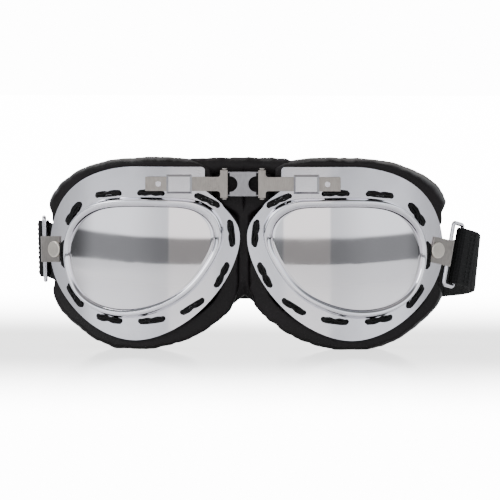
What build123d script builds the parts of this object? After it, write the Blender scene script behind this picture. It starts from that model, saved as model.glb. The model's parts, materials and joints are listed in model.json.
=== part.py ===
from build123d import *
import math
import os

# Motorcycle goggles, in millimetres. +Z up, -Y is the front (the side the lenses look out of), the wearer's
# face is on the +Y side. Left and right are as seen from the front: left is -X, right is +X.
# Each side is drawn on +X, with "u" the distance outward from the middle plane, and the left one is mirrored.
# The drawing starts from the middle plane, the frames' foremost point and the surface that the goggles stand on.
# At the end everything moves together, so that the origin is at the bottom centre of the whole object's box.

# ---- driving dimensions -------------------------------------------------------------------------------

# eye frame, seen from the front
FRAME_INNER = 1.6          # middle plane to the flange's edge at the nose
FRAME_WIDTH = 83.6
FRAME_BOTTOM = 4.0         # above the surface the goggles stand on
FRAME_HEIGHT = 74.9
TAB_INNER = 16.5           # middle plane to the straight inner end of the upper tab
TAB_CORNER = 1.6
TAB_FOOT_DROP = 10.1       # frame top down to where the nose side meets the tab
SHOULDER_U = 8.54          # a point of the nose side below the tab
SHOULDER_DROP = 17.08
FLANGE_THICKNESS = 1.8
# the flange between the frame's edge and the lens opening
MARGIN_NOSE = 11.2
MARGIN_OUTER = 10.2
MARGIN_TOP = 17.0
MARGIN_BOTTOM = 12.7

# wrap of the frames round the face, in plan
WRAP_RADIUS = 92.0
WRAP_APEX = 25.0           # middle plane to the foremost point of each frame

# lens and its rim
LENS_THICKNESS = 1.5
LENS_HELD_EDGE = 1.4       # width of the lens edge that the rim covers
LENS_PLAY = 0.1
RIM_HEIGHT = 3.6
RIM_NOSE = 4.3
RIM_OUTER = 2.2
RIM_TOP = 3.9
RIM_BOTTOM = 3.2
SEAT_LIP = 0.4             # how far the flange stays back from the lens opening

# lacing
LACE_RADIUS = 0.8
LACE_HOLE_RADIUS = 1.1
LACE_LIFT = 0.2            # between the flange and the lace, so that a stitch clears the curved flange
LACE_PLAY = 0.05           # between the lace and the flange's back
LACE_NOSE = 8.0            # lacing line outside the lens opening
LACE_OUTER = 3.7
LACE_TOP = 5.5
LACE_BOTTOM = 4.5
LACE_STITCHES = 11
LACE_STITCH_SHARE = 0.53   # share of the pitch that shows on the front
LACE_KEEPER_ROOM = 0.8     # between the keeper and the edge of the nearest lace hole
LACE_BEND = 0.95
LACE_END_SHARE = 0.3       # how far each end runs on behind, as a share of the gap between the ends

# face pad
PAD_INNER = 2.3
PAD_LIP_OUTER = 3.0        # how far the pad shows past the flange
PAD_RISE = 2.9             # over the frame's top
PAD_FLAT_CUT = 0.3         # the roll is flattened by this much where it stands
PAD_CAVITY = 0.3           # eye cavity outside the lens opening
PAD_REAR_RADIUS = 110.0    # face side of the pads, in plan
PAD_REAR_NOSE = 20.0       # depth of the face side at the middle plane
PAD_SHOULDER = 13.5        # inner end of the pad above the nose
PAD_SHOULDER_DROP = 17.4   # frame top down to the shoulder
NOSE_SLOPE = 0.47          # outward slope of the pad's nose side, per mm of depth
CAVITY_NOSE_SLOPE = 0.35
TEMPLE_SLOPE = 0.55
TEMPLE_DEPTH = 45.0        # the pads' hind end behind their face side at the nose
RING_SWING_ROOM = 4.0      # above and below the strap ring, for its tilt
RING_POCKET_INSET = 0.9    # from the rivet outward to where the pad is cut back behind the ring
LEATHER = 1.2
LINING = 1.0
LACE_GROOVE = 1.45         # half the width of the groove in the pad for the lace behind the flange
LACE_GROOVE_PLAY = 0.2

# soft bridge across the nose
NOSE_RISE = 4.3            # over the frame's top
NOSE_NOTCH_Z = 23.5
NOSE_SET_BACK = 3.0        # upper part behind the flange's thickness
NOSE_LOWER_SET_BACK = 3.4
NOSE_REAR = 20.0
NOSE_ROUND = 4.0
SOFT_GAP = 0.4             # between soft pieces that touch in use

# metal nose bridge
BRIDGE_DROP = 7.3          # frame top down to the bridge's axis
SHEET = 0.6
BRIDGE_FRONT = -1.0        # front face of the bracket plates
PIN_RADIUS = 0.8
PIN_PLAY = 0.08
PIN_U = 8.1
PIN_Y = 1.2
PIN_HEAD_RADIUS = 1.3
PIN_HEAD = 0.7
EAR_ROUND = 1.3
STACK_GAP = 0.1
BRACKET_HALF_HEIGHT = 5.95
BRACKET_INNER = 6.6
BRACKET_SHOULDER = 9.8
ARM_HALF_HEIGHT = 3.05
ARM_END = 42.1
ARM_FILLET = 1.2
LINK_HALF_WIDTH = 5.7
LINK_NOTCH_RADIUS = 3.35
KEEPER_INNER = 21.9
KEEPER_LENGTH = 11.0
KEEPER_WALL = 0.9
KEEPER_COVER = 1.5
ARM_PLAY = 0.15
STOP_RADIUS = 0.8
STOP_HEAD_RADIUS = 1.2
STOP_HEAD = 0.45
STOP_TAIL_RIM = 0.2        # how far the stop's tail is spread over its shank
SLIDE_TRAVEL = 2.2

# strap clip, rivet and strap ring
CLIP_RISE = 0.85           # rivet over the middle of the frame's height
CLIP_HALF_HEIGHT = 5.6
CLIP_SHEET = 0.7
CLIP_STAND_OFF = 0.15
CLIP_INNER = 2.6           # rivet centre to the clip's inner end
RIVET_INSET = 2.9          # flange edge to the rivet, seen from the front
RIVET_RADIUS = 1.5
RIVET_HEAD_RADIUS = 3.5
RIVET_HEAD = 0.9
RIVET_HEAD_ROUND = 0.54
RIVET_END_PLAY = 0.05
RIVET_TAIL_RADIUS = 2.4
RIVET_TAIL = 0.6
KNUCKLE_GAP = 0.56         # between the flange's outer edge and the knuckle
RING_BAR = 0.9             # radius of the ring's wire
RING_PLAY = 0.1
RING_END_PLAY = 0.4        # between the strap's edges and the ring's short sides
RING_REACH = 8.0           # between the ring's two long bars
RING_CORNER = 0.3          # inside radius of the ring's corners
# how the two sides hang at rest, in degrees
CLIP_DROOP = {"left": 2.0, "right": 12.0}
RING_OPEN = {"left": 5.0, "right": 28.0}

# head strap
STRAP_WIDTH = 24.5
STRAP_THICKNESS = 1.5
STRAP_END_LENGTH = 10.0    # ring bar to the end of the folded loop
STRAP_REAR_Y = 128.0
STRAP_REAR_Z = 27.0
STRAP_STRAIGHT = 35.0      # half length of the straight stretch at the back
STRAP_SIDE_SHARE = 0.38    # share of each curved stretch that belongs to the side piece
STRAP_HANDLE = 34.0
STRAP_REAR_HANDLE = 44.0
STRAP_STEPS = 6
STRAP_LEAN_SHARE = 0.7     # share of each curved stretch over which the ring's tilt dies away
ADJUSTER_X = 14.0
ADJUSTER_LENGTH = 12.0
ADJUSTER_BAR = 2.0
ADJUSTER_SHEET = 1.3
ADJUSTER_PLAY = 0.35
ADJUSTER_CORNER = 1.4

REACH = 150.0              # longer than anything that a tool body has to cut

# ---- values that follow -------------------------------------------------------------------------------

FRAME_OUTER = FRAME_INNER + FRAME_WIDTH
FRAME_TOP = FRAME_BOTTOM + FRAME_HEIGHT
LENS_BOX = (FRAME_INNER + MARGIN_NOSE, FRAME_OUTER - MARGIN_OUTER,
            FRAME_BOTTOM + MARGIN_BOTTOM, FRAME_TOP - MARGIN_TOP)
BRIDGE_Z = FRAME_TOP - BRIDGE_DROP
SWIVEL_RADIUS = PIN_RADIUS + PIN_PLAY
LINK_HALF_HEIGHT = BRACKET_HALF_HEIGHT - SHEET - STACK_GAP
PAD_TOP = FRAME_TOP + PAD_RISE
PAD_SHOULDER_Z = FRAME_TOP - PAD_SHOULDER_DROP
NOSE_TOP = FRAME_TOP + NOSE_RISE
NOSE_FRONT = FLANGE_THICKNESS + NOSE_SET_BACK
NOSE_LOWER_FRONT = FLANGE_THICKNESS + NOSE_LOWER_SET_BACK
CLIP_Z = FRAME_BOTTOM + FRAME_HEIGHT / 2 + CLIP_RISE
RIVET_U = FRAME_OUTER - RIVET_INSET
RIVET_ANGLE = math.degrees(math.asin((RIVET_U - WRAP_APEX) / WRAP_RADIUS))
KNUCKLE_RADIUS = RING_BAR + RING_PLAY + CLIP_SHEET
FLANGE_REACH = (RIVET_INSET / math.cos(math.radians(RIVET_ANGLE))
                + FLANGE_THICKNESS * math.tan(math.radians(RIVET_ANGLE)))
KNUCKLE_REACH = FLANGE_REACH + KNUCKLE_GAP + KNUCKLE_RADIUS    # rivet centre to the knuckle's axis
KNUCKLE_DEPTH = CLIP_STAND_OFF + CLIP_SHEET - KNUCKLE_RADIUS
RING_HALF_HEIGHT = STRAP_WIDTH / 2 + RING_END_PLAY + 2 * RING_BAR
STRAP_END_HALF = RING_BAR + RING_PLAY + STRAP_THICKNESS
STOP_U = KEEPER_INNER + KEEPER_LENGTH + SLIDE_TRAVEL + STOP_HEAD_RADIUS + ARM_PLAY
PAD_LIP = FRAME_OUTER + PAD_LIP_OUTER
PAD_LIP_Y = WRAP_RADIUS - math.sqrt((WRAP_RADIUS - FLANGE_THICKNESS) ** 2 - (PAD_LIP - WRAP_APEX) ** 2)
PAD_POCKET_U = RIVET_U + RING_POCKET_INSET

# outlines in shares of the box that they fill: across from the nose, up from the lowest point
LENS_SHAPE = [(0, .732), (.045, .878), (.151, .971), (.341, .998), (.63, .996), (.791, .962), (.928, .838),
              (1, .582), (.985, .361), (.908, .153), (.767, .033), (.598, 0), (.405, .055), (.228, .186),
              (.077, .423)]
FRAME_SHAPE = [(.531, 1), (.681, .98), (.821, .917), (.921, .814), (.989, .629), (.985, .4), (.886, .199),
               (.697, .039), (.55, 0), (.353, .057), (.14, .244), (.019, .478), (0, .581), (.017, .676)]
LACE_SHAPE = [(0, .62), (.016, .78), (.094, .917), (.204, .982), (.405, 1), (.745, .987), (.854, .949),
              (.941, .839), (1, .5), (.922, .164), (.828, .058), (.58, 0), (.362, .038), (.115, .247)]
PAD_SHAPE = [(.322, 1), (.509, .996), (.718, .964), (.871, .878), (.966, .724), (1, .55), (.974, .375),
             (.871, .175), (.695, .035), (.509, 0), (.352, .018), (.232, .055), (.128, .117), (.033, .213),
             (0, .265)]


# ---- helpers ------------------------------------------------------------------------------------------

def stretched(shape, box):
    u0, u1, z0, z1 = box
    return [(u0 + a * (u1 - u0), z0 + b * (z1 - z0)) for a, b in shape]


def grown(box, nose, outer, top, bottom):
    u0, u1, z0, z1 = box
    return (u0 - nose, u1 + outer, z0 - bottom, z1 + top)


def lens_box(margin):
    """The lens opening's box grown by one margin, foreshortened on the wrapped outer side."""
    return grown(LENS_BOX, margin, margin * math.cos(math.radians(RIVET_ANGLE)), margin, margin)


def lens_outline(box):
    return make_face(Spline(stretched(LENS_SHAPE, box), periodic=True))


def prism(sketch):
    """A front outline carried through the whole depth."""
    return extrude(Plane.XZ.offset(-REACH / 2) * sketch, REACH)


def drum(radius, centre):
    """A tall upright cylinder about a point of the plan."""
    return Pos(*centre) * Cylinder(radius, 4 * REACH)


def band(front, back):
    """The wrapped wall between two heights over the flange's front face."""
    centre = (WRAP_APEX, WRAP_RADIUS)
    return drum(WRAP_RADIUS + front, centre) - drum(WRAP_RADIUS + back, centre)


def half_space(point, direction):
    """Everything on one side of an upright plane through a point of the plan."""
    plane = Plane(origin=(*point, 0), z_dir=(*direction, 0))
    return plane * Box(4 * REACH, 4 * REACH, REACH, align=(Align.CENTER, Align.CENTER, Align.MIN))


def block(low, high):
    size = [b - a for a, b in zip(low, high)]
    return Pos(*low) * Box(*size, align=(Align.MIN, Align.MIN, Align.MIN))


def wrap_point(u, z, height=0.0):
    """A point over the flange's front face, and the outward normal there."""
    angle = math.asin((u - WRAP_APEX) / WRAP_RADIUS)
    radius = WRAP_RADIUS + height
    normal = Vector(math.sin(angle), -math.cos(angle), 0)
    return Vector(WRAP_APEX + radius * math.sin(angle), WRAP_RADIUS - radius * math.cos(angle), z), normal


def rod(start, end, radius):
    start, end = Vector(*start), Vector(*end)
    return extrude(Plane(origin=start, z_dir=end - start) * Circle(radius), (end - start).length)


# ---- eye frame, rim and lens --------------------------------------------------------------------------

def frame_outline():
    box = (FRAME_INNER, FRAME_OUTER, FRAME_BOTTOM, FRAME_TOP)
    points = stretched(FRAME_SHAPE, box)
    points.append((SHOULDER_U, FRAME_TOP - SHOULDER_DROP))
    foot = (TAB_INNER, FRAME_TOP - TAB_FOOT_DROP)
    corner = (TAB_INNER, FRAME_TOP)
    round_side = Spline(points + [foot], tangents=[(1, 0), (1, .75)])
    upright = Line(foot, corner)
    top = Line(corner, points[0])
    face = make_face([round_side, upright, top])
    tip = face.vertices().sort_by_distance(Vector(*corner))[0]
    return fillet(tip, TAB_CORNER)


def lace_box(margin=0.0):
    return grown(LENS_BOX, LACE_NOSE + margin, LACE_OUTER + margin, LACE_TOP + margin, LACE_BOTTOM + margin)


def share_above(line, u):
    """The share of the lacing line, from its nose end, at which its upper run reaches u."""
    low, high = 0.0, 0.3
    for _ in range(30):
        middle = (low + high) / 2
        if line.position_at(middle).X < u:
            low = middle
        else:
            high = middle
    return low


def lace_holes():
    """The centres of the lace holes, in pairs, one pair to a stitch on the front, round from the keeper."""
    line = Spline(stretched(LACE_SHAPE, lace_box()), periodic=True)
    room = LACE_HOLE_RADIUS + LACE_KEEPER_ROOM
    start = share_above(line, KEEPER_INNER + KEEPER_LENGTH + room)
    end = 1 + share_above(line, KEEPER_INNER - room)
    pitch = (end - start) / (LACE_STITCHES - 1 + LACE_STITCH_SHARE)
    pairs = []
    for i in range(LACE_STITCHES):
        first = start + i * pitch
        ends = [line.position_at(share % 1) for share in (first, first + LACE_STITCH_SHARE * pitch)]
        pairs.append([(p.X, p.Y) for p in ends])
    return pairs


def keeper():
    """The raised loop on the flange that the bridge arm slides through."""
    half = ARM_HALF_HEIGHT + ARM_PLAY + KEEPER_WALL
    front = BRIDGE_FRONT - ARM_PLAY - KEEPER_COVER
    outer = KEEPER_INNER + KEEPER_LENGTH
    body = block((KEEPER_INNER, front, BRIDGE_Z - half), (outer, FLANGE_THICKNESS / 2, BRIDGE_Z + half))
    body = chamfer(body.edges().group_by(Axis.Y)[0], KEEPER_WALL)
    slot_half = ARM_HALF_HEIGHT + ARM_PLAY
    slot = block((KEEPER_INNER - 1, BRIDGE_FRONT - ARM_PLAY, BRIDGE_Z - slot_half),
                 (outer + 1, BRIDGE_FRONT + SHEET + ARM_PLAY, BRIDGE_Z + slot_half))
    return body - slot


def frame_part():
    seat = lens_outline(lens_box(SEAT_LIP))
    flange = prism(frame_outline() - seat) & band(0, -FLANGE_THICKNESS)
    body = flange + keeper()
    depth = FLANGE_THICKNESS * 2
    for pair in lace_holes():
        for u, z in pair:
            point, normal = wrap_point(u, z)
            body -= rod(point + normal * depth, point - normal * depth, LACE_HOLE_RADIUS)
    point, normal = wrap_point(RIVET_U, CLIP_Z)
    return body - rod(point + normal * depth, point - normal * depth, RIVET_RADIUS + PIN_PLAY)


def rim_part():
    outer = lens_outline(grown(LENS_BOX, RIM_NOSE, RIM_OUTER, RIM_TOP, RIM_BOTTOM))
    ring = prism(outer - lens_outline(LENS_BOX)) & band(RIM_HEIGHT, 0)
    pocket_front = LENS_THICKNESS + 2 * LENS_PLAY
    return ring - (prism(lens_outline(lens_box(LENS_HELD_EDGE + LENS_PLAY))) & band(pocket_front, -1))


def lens_part():
    return prism(lens_outline(lens_box(LENS_HELD_EDGE))) & band(LENS_PLAY + LENS_THICKNESS, LENS_PLAY)


def lace_part():
    """One cord, over the flange in short stitches and behind it between them, ending behind."""
    over = LACE_RADIUS + LACE_LIFT
    under = -FLANGE_THICKNESS - LACE_RADIUS - LACE_PLAY
    points = []
    for first, last in lace_holes():
        points += [wrap_point(*first, under)[0], wrap_point(*first, over)[0]]
        points += [wrap_point(*last, over)[0], wrap_point(*last, under)[0]]
    start, end = points[0], points[-1]
    points.insert(0, start + (end - start) * LACE_END_SHARE)
    points.append(end + (start - end) * LACE_END_SHARE)
    path = FilletPolyline(*points, radius=LACE_BEND)
    return sweep(Plane(origin=path @ 0, z_dir=path % 0) * Circle(LACE_RADIUS), path)


# ---- face pad -----------------------------------------------------------------------------------------

def pad_outline(inset):
    """The pad seen from the front, from its top round the outer side to the nose, and back up the nose side."""
    box = grown((PAD_INNER, PAD_LIP, -PAD_FLAT_CUT, PAD_TOP), -inset, -inset, -inset, -inset)
    points = stretched(PAD_SHAPE, box)
    nose, shoulder = PAD_INNER + inset, PAD_SHOULDER + inset
    corners = [(nose, PAD_SHOULDER_Z - 2), (shoulder, PAD_SHOULDER_Z - inset), (shoulder, PAD_TOP - inset)]
    return make_face([Spline(points), Polyline(points[-1], *corners, points[0])])


def pad_body(inset, back_inset):
    """The ring between the flange and the face, with its skin taken off by the insets."""
    front_centre = (WRAP_APEX, WRAP_RADIUS)
    rear_centre = (0, PAD_REAR_NOSE + PAD_REAR_RADIUS)
    body = prism(pad_outline(inset)) & drum(WRAP_RADIUS - FLANGE_THICKNESS - inset, front_centre)
    body -= drum(PAD_REAR_RADIUS + back_inset, rear_centre)
    body -= block((-REACH, PAD_REAR_NOSE + TEMPLE_DEPTH, -REACH), (REACH, 3 * REACH, REACH))
    nose = Vector(-1, NOSE_SLOPE).normalized()
    body -= half_space((PAD_INNER - nose.X * inset, NOSE_LOWER_FRONT - nose.Y * inset), (nose.X, nose.Y))
    temple = Vector(1, TEMPLE_SLOPE).normalized()
    body -= half_space((PAD_LIP - temple.X * inset, PAD_LIP_Y - temple.Y * inset), (temple.X, temple.Y))
    pocket = RING_HALF_HEIGHT + RING_SWING_ROOM + inset
    body -= block((PAD_POCKET_U - inset, 0, CLIP_Z - pocket), (REACH, REACH, CLIP_Z + pocket))
    return body - block((-REACH, -REACH, -REACH), (REACH, REACH, inset))


def cavity(growth):
    """The room for the eye, opening out of the pad behind the lens."""
    room = prism(lens_outline(lens_box(PAD_CAVITY + growth)))
    nose = Vector(-1, CAVITY_NOSE_SLOPE).normalized()
    start = (LENS_BOX[0] - growth, NOSE_LOWER_FRONT)
    return room - half_space(start, (nose.X, nose.Y))


def lace_groove():
    """The groove for the lace behind the flange, where the holes lead it in towards the wrap's axis."""
    closer = 1 - (FLANGE_THICKNESS + LACE_RADIUS) / WRAP_RADIUS
    edges = []
    for margin in (LACE_GROOVE, -LACE_GROOVE):
        u0, u1, z0, z1 = lace_box(margin)
        box = (WRAP_APEX + (u0 - WRAP_APEX) * closer, WRAP_APEX + (u1 - WRAP_APEX) * closer, z0, z1)
        edges.append(make_face(Spline(stretched(LACE_SHAPE, box), periodic=True)))
    depth = FLANGE_THICKNESS + 2 * LACE_RADIUS + LACE_PLAY + LACE_GROOVE_PLAY
    return prism(edges[0] - edges[1]) & band(0, -depth)


def rivet_pocket():
    point, normal = wrap_point(RIVET_U, CLIP_Z)
    return rod(point, point - normal * (FLANGE_THICKNESS + RIVET_TAIL + SOFT_GAP), RIVET_TAIL_RADIUS + SOFT_GAP)


def pad_parts():
    """The leather cover outside, the foam in it, and the soft lining towards the eye and the face."""
    cuts = lace_groove() + rivet_pocket()
    whole = pad_body(0, 0) - cavity(0)
    foam = pad_body(LEATHER, LINING) - cavity(LINING)
    core = pad_body(LEATHER, 0)
    rear = pad_body(LEATHER, 0) - pad_body(LEATHER, LINING)
    lining = ((core & cavity(LINING)) + rear) - cavity(0)
    cover = whole - foam - lining
    return {"leather_cover": cover - cuts, "pad_foam": foam - cuts, "pad_lining": lining - cuts}


def nose_pad():
    """The soft bridge that joins the two pads over the nose."""
    shoulder = PAD_SHOULDER - SOFT_GAP
    upper = block((-shoulder, NOSE_FRONT, PAD_SHOULDER_Z), (shoulder, NOSE_REAR, NOSE_TOP))
    upper = fillet(upper.edges().filter_by(Axis.X).group_by(Axis.Z)[-1], NOSE_ROUND)
    front_half = PAD_INNER - SOFT_GAP
    rear_half = front_half + NOSE_SLOPE * (NOSE_REAR - NOSE_LOWER_FRONT)
    plan = Polygon((-front_half, NOSE_LOWER_FRONT), (front_half, NOSE_LOWER_FRONT), (rear_half, NOSE_REAR),
                   (-rear_half, NOSE_REAR), align=None)
    lower = extrude(Pos(0, 0, NOSE_NOTCH_Z) * plan, PAD_SHOULDER_Z - NOSE_NOTCH_Z)
    return upper + lower


# ---- metal nose bridge --------------------------------------------------------------------------------

def pin_hole(u):
    return Pos(u, PIN_Y, BRIDGE_Z) * Cylinder(SWIVEL_RADIUS, 4 * BRACKET_HALF_HEIGHT)


def bracket_part():
    """A sheet bracket: the arm, its T-shaped head, and the two ears bent back round the pin."""
    head, arm = BRACKET_HALF_HEIGHT, ARM_HALF_HEIGHT
    face = Polygon((BRACKET_INNER, -head), (BRACKET_SHOULDER, -head), (BRACKET_SHOULDER, -arm), (ARM_END, -arm),
                   (ARM_END, arm), (BRACKET_SHOULDER, arm), (BRACKET_SHOULDER, head), (BRACKET_INNER, head),
                   align=None)
    inner_corners = [v for v in face.vertices() if abs(v.X - BRACKET_SHOULDER) < .01 and abs(abs(v.Y) - arm) < .01]
    face = fillet(inner_corners, ARM_FILLET)
    plate = extrude(Plane.XZ.offset(-BRIDGE_FRONT - SHEET) * Pos(0, BRIDGE_Z) * face, SHEET)
    ear_plan = Rectangle(BRACKET_SHOULDER - BRACKET_INNER, PIN_Y - BRIDGE_FRONT, align=(Align.MIN, Align.MIN))
    ear_plan = Pos(BRACKET_INNER, BRIDGE_FRONT) * ear_plan + Pos(PIN_U, PIN_Y) * Circle(PIN_U - BRACKET_INNER)
    ears = [extrude(Pos(0, 0, z) * ear_plan, SHEET) for z in (BRIDGE_Z - head, BRIDGE_Z + head - SHEET)]
    stop_hole = rod((STOP_U, -3, BRIDGE_Z), (STOP_U, 3, BRIDGE_Z), STOP_RADIUS + PIN_PLAY)
    return plate + ears[0] + ears[1] - pin_hole(PIN_U) - stop_hole


def link_part():
    """The channel between the two pins, with a round bite out of each end of its web."""
    half = LINK_HALF_HEIGHT
    web = block((-LINK_HALF_WIDTH, BRIDGE_FRONT, BRIDGE_Z - half), (LINK_HALF_WIDTH, BRIDGE_FRONT + SHEET,
                                                                     BRIDGE_Z + half))
    for side in (-1, 1):
        end = side * LINK_HALF_WIDTH
        web -= rod((end, -3, BRIDGE_Z), (end, 3, BRIDGE_Z), LINK_NOTCH_RADIUS)
    plan = Rectangle(2 * LINK_HALF_WIDTH, PIN_Y - BRIDGE_FRONT, align=(Align.CENTER, Align.MIN))
    plan = Pos(0, BRIDGE_FRONT) * plan + Pos(0, PIN_Y) * SlotOverall(2 * (PIN_U + EAR_ROUND), 2 * EAR_ROUND)
    for z in (BRIDGE_Z - half, BRIDGE_Z + half - SHEET):
        web += extrude(Pos(0, 0, z) * plan, SHEET)
    return web - pin_hole(PIN_U) - pin_hole(-PIN_U)


def hinge_pin():
    half = BRACKET_HALF_HEIGHT + STACK_GAP
    pin = Pos(PIN_U, PIN_Y, BRIDGE_Z) * Cylinder(PIN_RADIUS, 2 * (half + PIN_HEAD / 2))
    for side in (-1, 1):
        pin += Pos(PIN_U, PIN_Y, BRIDGE_Z + side * (half + PIN_HEAD / 2)) * Cylinder(PIN_HEAD_RADIUS, PIN_HEAD)
    return pin


def slide_stop():
    """The small rivet in the arm that stops it at the keeper."""
    front = (STOP_U, BRIDGE_FRONT, BRIDGE_Z)
    back = (STOP_U, BRIDGE_FRONT + SHEET, BRIDGE_Z)
    stop = rod((STOP_U, BRIDGE_FRONT - STOP_HEAD, BRIDGE_Z), front, STOP_HEAD_RADIUS)
    stop += rod((STOP_U, BRIDGE_FRONT - STOP_HEAD, BRIDGE_Z), back, STOP_RADIUS)
    return stop + rod(back, (STOP_U, BRIDGE_FRONT + SHEET + STOP_HEAD, BRIDGE_Z), STOP_RADIUS + STOP_TAIL_RIM)


# ---- strap clip, rivet and ring -----------------------------------------------------------------------

def rivet_place(droop):
    """Local X runs outward along the flange, local Y up, local Z out of the flange, turned down by the droop."""
    point, normal = wrap_point(RIVET_U, CLIP_Z)
    tangent = Vector(-normal.Y, normal.X, 0)
    return Plane(origin=point, x_dir=tangent, z_dir=normal).location * Rot(0, 0, -droop)


def ring_place(side):
    """Local X runs from the knuckle to the strap bar, local Y along the bars."""
    turn = 90 - RIVET_ANGLE - RING_OPEN[side]
    return rivet_place(CLIP_DROOP[side]) * Pos(KNUCKLE_REACH, 0, KNUCKLE_DEPTH) * Rot(0, turn, 0)


def clip_part(side):
    half = CLIP_HALF_HEIGHT
    top = CLIP_STAND_OFF + CLIP_SHEET
    leaf = block((-CLIP_INNER, -half, CLIP_STAND_OFF), (KNUCKLE_REACH, half, top))
    hole = rod((0, 0, -2), (0, 0, 3), RIVET_RADIUS + PIN_PLAY)
    start, end = (KNUCKLE_REACH, -half, KNUCKLE_DEPTH), (KNUCKLE_REACH, half, KNUCKLE_DEPTH)
    knuckle = rod(start, end, KNUCKLE_RADIUS)
    bore = rod((KNUCKLE_REACH, -half - 1, KNUCKLE_DEPTH), (KNUCKLE_REACH, half + 1, KNUCKLE_DEPTH),
               RING_BAR + RING_PLAY)
    return rivet_place(CLIP_DROOP[side]) * (leaf + knuckle - hole - bore)


def clip_rivet():
    top = CLIP_STAND_OFF + CLIP_SHEET + RIVET_END_PLAY
    head = Pos(0, 0, top) * Cylinder(RIVET_HEAD_RADIUS, RIVET_HEAD, align=(Align.CENTER, Align.CENTER, Align.MIN))
    head = fillet(head.edges().sort_by(Axis.Z)[-1], RIVET_HEAD_ROUND)
    below = -FLANGE_THICKNESS - RIVET_END_PLAY
    shank = rod((0, 0, below - RIVET_TAIL), (0, 0, top), RIVET_RADIUS)
    tail = rod((0, 0, below - RIVET_TAIL), (0, 0, below), RIVET_TAIL_RADIUS)
    return rivet_place(0) * (head + shank + tail)


def ring_part(side):
    """A wire rectangle: one long bar turns in the clip's knuckle, the strap runs round the other."""
    half = RING_HALF_HEIGHT - RING_BAR
    corners = [(0, half), (RING_REACH, half), (RING_REACH, -half), (0, -half)]
    outline = FilletPolyline(*corners, radius=RING_BAR + RING_CORNER, close=True)
    wire = sweep(Plane(origin=outline @ 0, z_dir=outline % 0) * Circle(RING_BAR), outline)
    return ring_place(side) * wire


def strap_end(side):
    """The strap's fold round the ring's bar, sewn shut."""
    half = STRAP_WIDTH / 2
    loop = rod((RING_REACH, -half, 0), (RING_REACH, half, 0), STRAP_END_HALF)
    loop += block((RING_REACH, -half, -STRAP_END_HALF), (RING_REACH + STRAP_END_LENGTH, half, STRAP_END_HALF))
    bar = rod((RING_REACH, -half - 1, 0), (RING_REACH, half + 1, 0), RING_BAR + RING_PLAY)
    return ring_place(side) * (loop - bar)


# ---- head strap ---------------------------------------------------------------------------------------

def bezier(points, t):
    weights = [(1 - t) ** 3, 3 * t * (1 - t) ** 2, 3 * t * t * (1 - t), t ** 3]
    total = Vector(0, 0, 0)
    for w, p in zip(weights, points):
        total = total + p * w
    return total


def strap_handles(side):
    """The curved stretch from the folded end to the straight stretch at the back, drawn on +X."""
    plane = Plane(ring_place(side))
    start = plane.origin + plane.x_dir * (RING_REACH + STRAP_END_LENGTH)
    rear = Vector(STRAP_STRAIGHT, STRAP_REAR_Y, STRAP_REAR_Z)
    return [start, start + plane.x_dir * STRAP_HANDLE, rear + Vector(STRAP_REAR_HANDLE, 0, 0), rear], plane


def strap_section(side, t, thickness):
    points, plane = strap_handles(side)
    step = 0.001
    low, high = max(0, t - step), min(1, t + step)
    along = (bezier(points, high) - bezier(points, low)).normalized()
    if t == 0:
        along = plane.x_dir
    if t == 1:
        along = Vector(-1, 0, 0)
    lean = (1 - min(1, t / STRAP_LEAN_SHARE)) ** 2
    up = plane.y_dir * lean + Vector(0, 0, 1) * (1 - lean)
    across = along.cross(up).normalized()
    return Plane(origin=bezier(points, t), x_dir=across, z_dir=along) * Rectangle(thickness, STRAP_WIDTH)


def strap_stretch(side, start, end, thickness):
    steps = max(2, round(STRAP_STEPS * (end - start) * 2))
    shares = [start + (end - start) * i / steps for i in range(steps + 1)]
    return loft([strap_section(side, t, thickness) for t in shares], ruled=True)


def strap_rear():
    """The strap behind the head: double on the right, up to the adjuster, and single on the left."""
    double = 2 * STRAP_THICKNESS
    right = strap_stretch("right", STRAP_SIDE_SHARE, 1, double)
    left = mirror(strap_stretch("left", STRAP_SIDE_SHARE, 1, STRAP_THICKNESS), Plane.YZ)
    low = (-STRAP_STRAIGHT, STRAP_REAR_Y - STRAP_THICKNESS, STRAP_REAR_Z - STRAP_WIDTH / 2)
    high = (STRAP_STRAIGHT, STRAP_REAR_Y + STRAP_THICKNESS, STRAP_REAR_Z + STRAP_WIDTH / 2)
    return right + block(low, high) + left


def strap_adjuster():
    """A flat slide: its two end bars lie outside the strap and its middle bar inside."""
    inner_half = STRAP_WIDTH / 2 + ADJUSTER_PLAY
    outer_half = inner_half + ADJUSTER_BAR
    inside = STRAP_THICKNESS + ADJUSTER_PLAY
    outside = inside + ADJUSTER_SHEET
    body = Box(ADJUSTER_LENGTH, 2 * outside, 2 * outer_half)
    body = fillet(body.edges().filter_by(Axis.Y), ADJUSTER_CORNER)
    body -= Box(2 * ADJUSTER_LENGTH, 2 * inside, 2 * inner_half)
    window = (ADJUSTER_LENGTH - 3 * ADJUSTER_BAR) / 2
    for side in (-1, 1):
        centre = side * (window + ADJUSTER_BAR) / 2
        body -= Pos(centre, outside, 0) * Box(window, 2 * outside, 2 * inner_half)
    body -= Pos(0, outside, 0) * Box(ADJUSTER_BAR, 2 * outside, 2 * inner_half)
    middle = ADJUSTER_LENGTH / 2 - ADJUSTER_BAR
    for side in (-1, 1):
        centre = side * (middle + ADJUSTER_BAR) / 2
        body -= Pos(centre, -outside, 0) * Box(middle, 2 * outside, 2 * inner_half)
    return Pos(ADJUSTER_X, STRAP_REAR_Y, STRAP_REAR_Z) * body


# ---- the whole ----------------------------------------------------------------------------------------

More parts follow.
